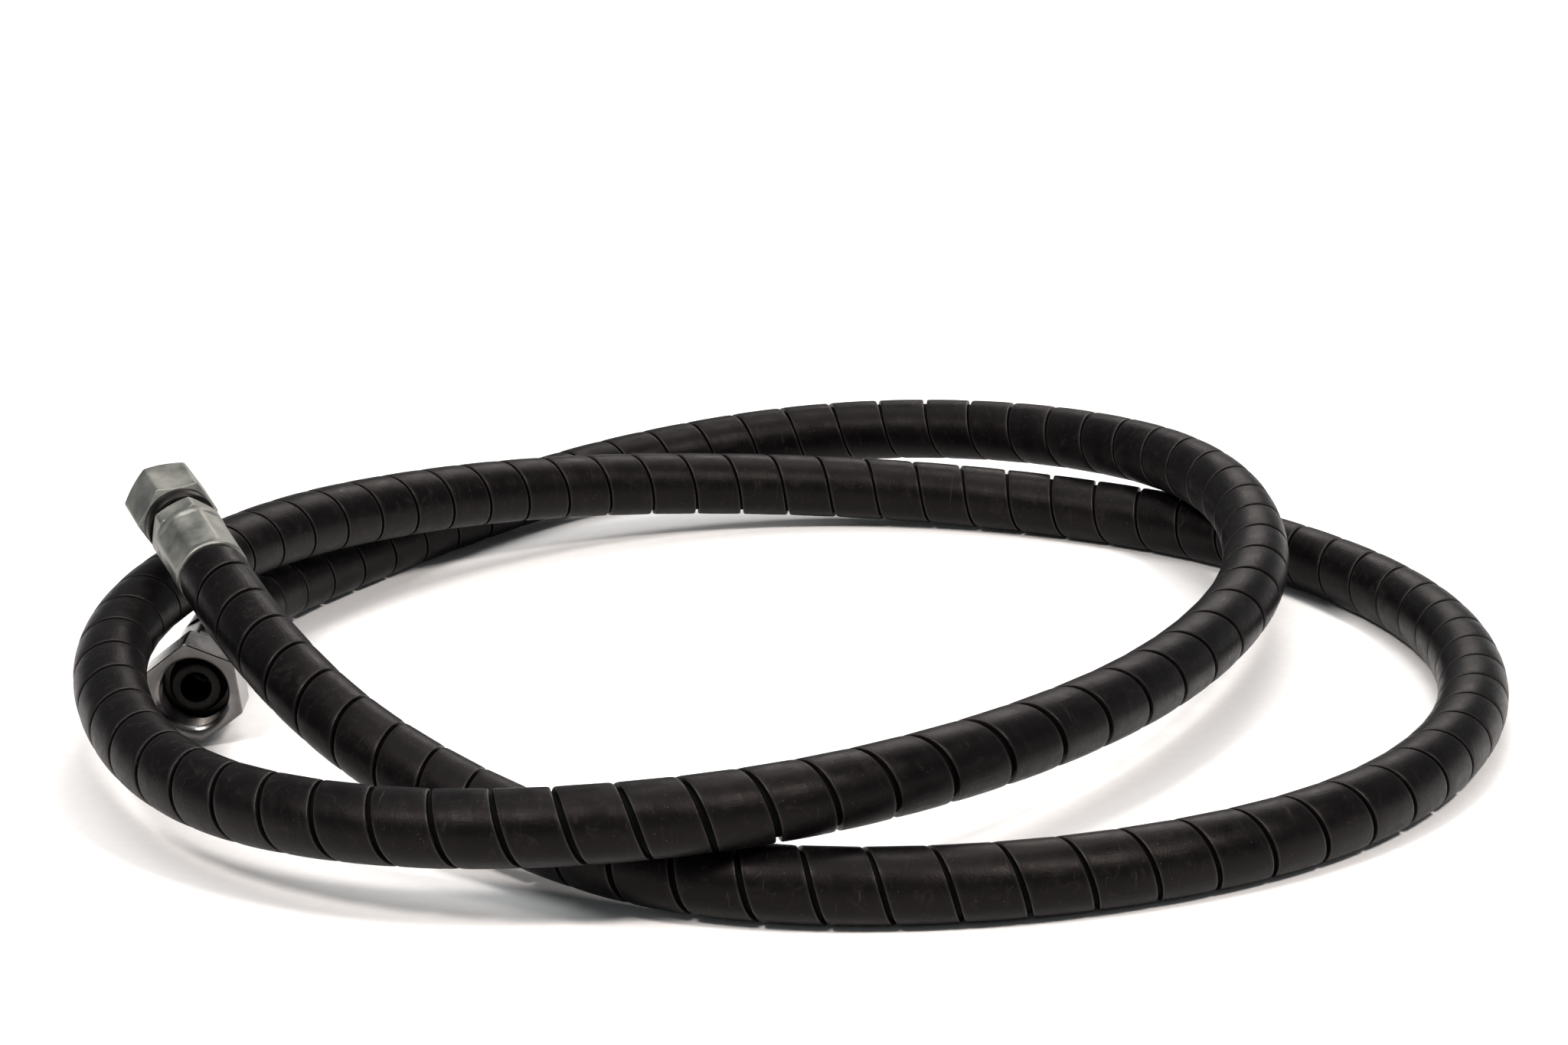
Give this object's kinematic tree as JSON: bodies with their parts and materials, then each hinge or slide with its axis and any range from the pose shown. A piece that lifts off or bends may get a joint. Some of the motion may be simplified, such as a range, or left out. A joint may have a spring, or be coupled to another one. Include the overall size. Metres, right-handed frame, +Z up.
{
  "type": "hydraulic hose assembly",
  "caption": "Stiff black hydraulic hose in a spiral-cut guard, lying in a loose flat coil, with a crimped ferrule and a hexagonal swivel nut fitting at each end.",
  "frame": {"origin": "middle of the coil in plan, on the plane the hose lies on", "axes": "+Z up, -Y the front of the coil, +X to the right seen from the front; both fittings are at the left"},
  "size_m": [0.4258, 0.4207, 0.0719],
  "materials": {
    "guard_plastic": "satin",
    "hose_rubber": "matte",
    "braid_wire": "satin",
    "zinc_dull": "satin",
    "zinc_bright": "polished",
    "wire_steel": "satin",
    "ring_rubber": "matte"
  },
  "bodies": {
    "hose": {"hose_inner_tube": "hose_rubber", "hose_braid_inner": "braid_wire", "hose_interlayer": "hose_rubber", "hose_braid_outer": "braid_wire", "hose_cover": "hose_rubber", "spiral_guard": "guard_plastic", "ferrule_a": "zinc_dull", "nipple_a": "zinc_dull", "o_ring_a": "ring_rubber", "ferrule_b": "zinc_bright", "nipple_b": "zinc_bright", "o_ring_b": "ring_rubber"},
    "wire_a": {"thrust_wire_a": "wire_steel"},
    "nut_a": {"swivel_nut_a": "zinc_dull"},
    "wire_b": {"thrust_wire_b": "wire_steel"},
    "nut_b": {"swivel_nut_b": "zinc_bright"}
  },
  "joints": [
    {"name": "nut_a_play", "type": "slide", "parent": "hose", "child": "wire_a", "axis": [-0.4184, 0.8809, 0.2214], "range_m": [-0.0004, 0.0004]},
    {"name": "nut_a_swivel", "type": "hinge", "parent": "wire_a", "child": "nut_a", "pos_m": [-0.18762, -0.02451, 0.05736], "axis": [-0.4184, 0.8809, 0.2214], "continuous": true},
    {"name": "nut_b_play", "type": "slide", "parent": "hose", "child": "wire_b", "axis": [0.0045, -0.9992, 0.0409], "range_m": [-0.0004, 0.0004]},
    {"name": "nut_b_swivel", "type": "hinge", "parent": "wire_b", "child": "nut_b", "pos_m": [-0.17996, -0.04827, 0.01588], "axis": [0.0045, -0.9992, 0.0409], "continuous": true}
  ]
}
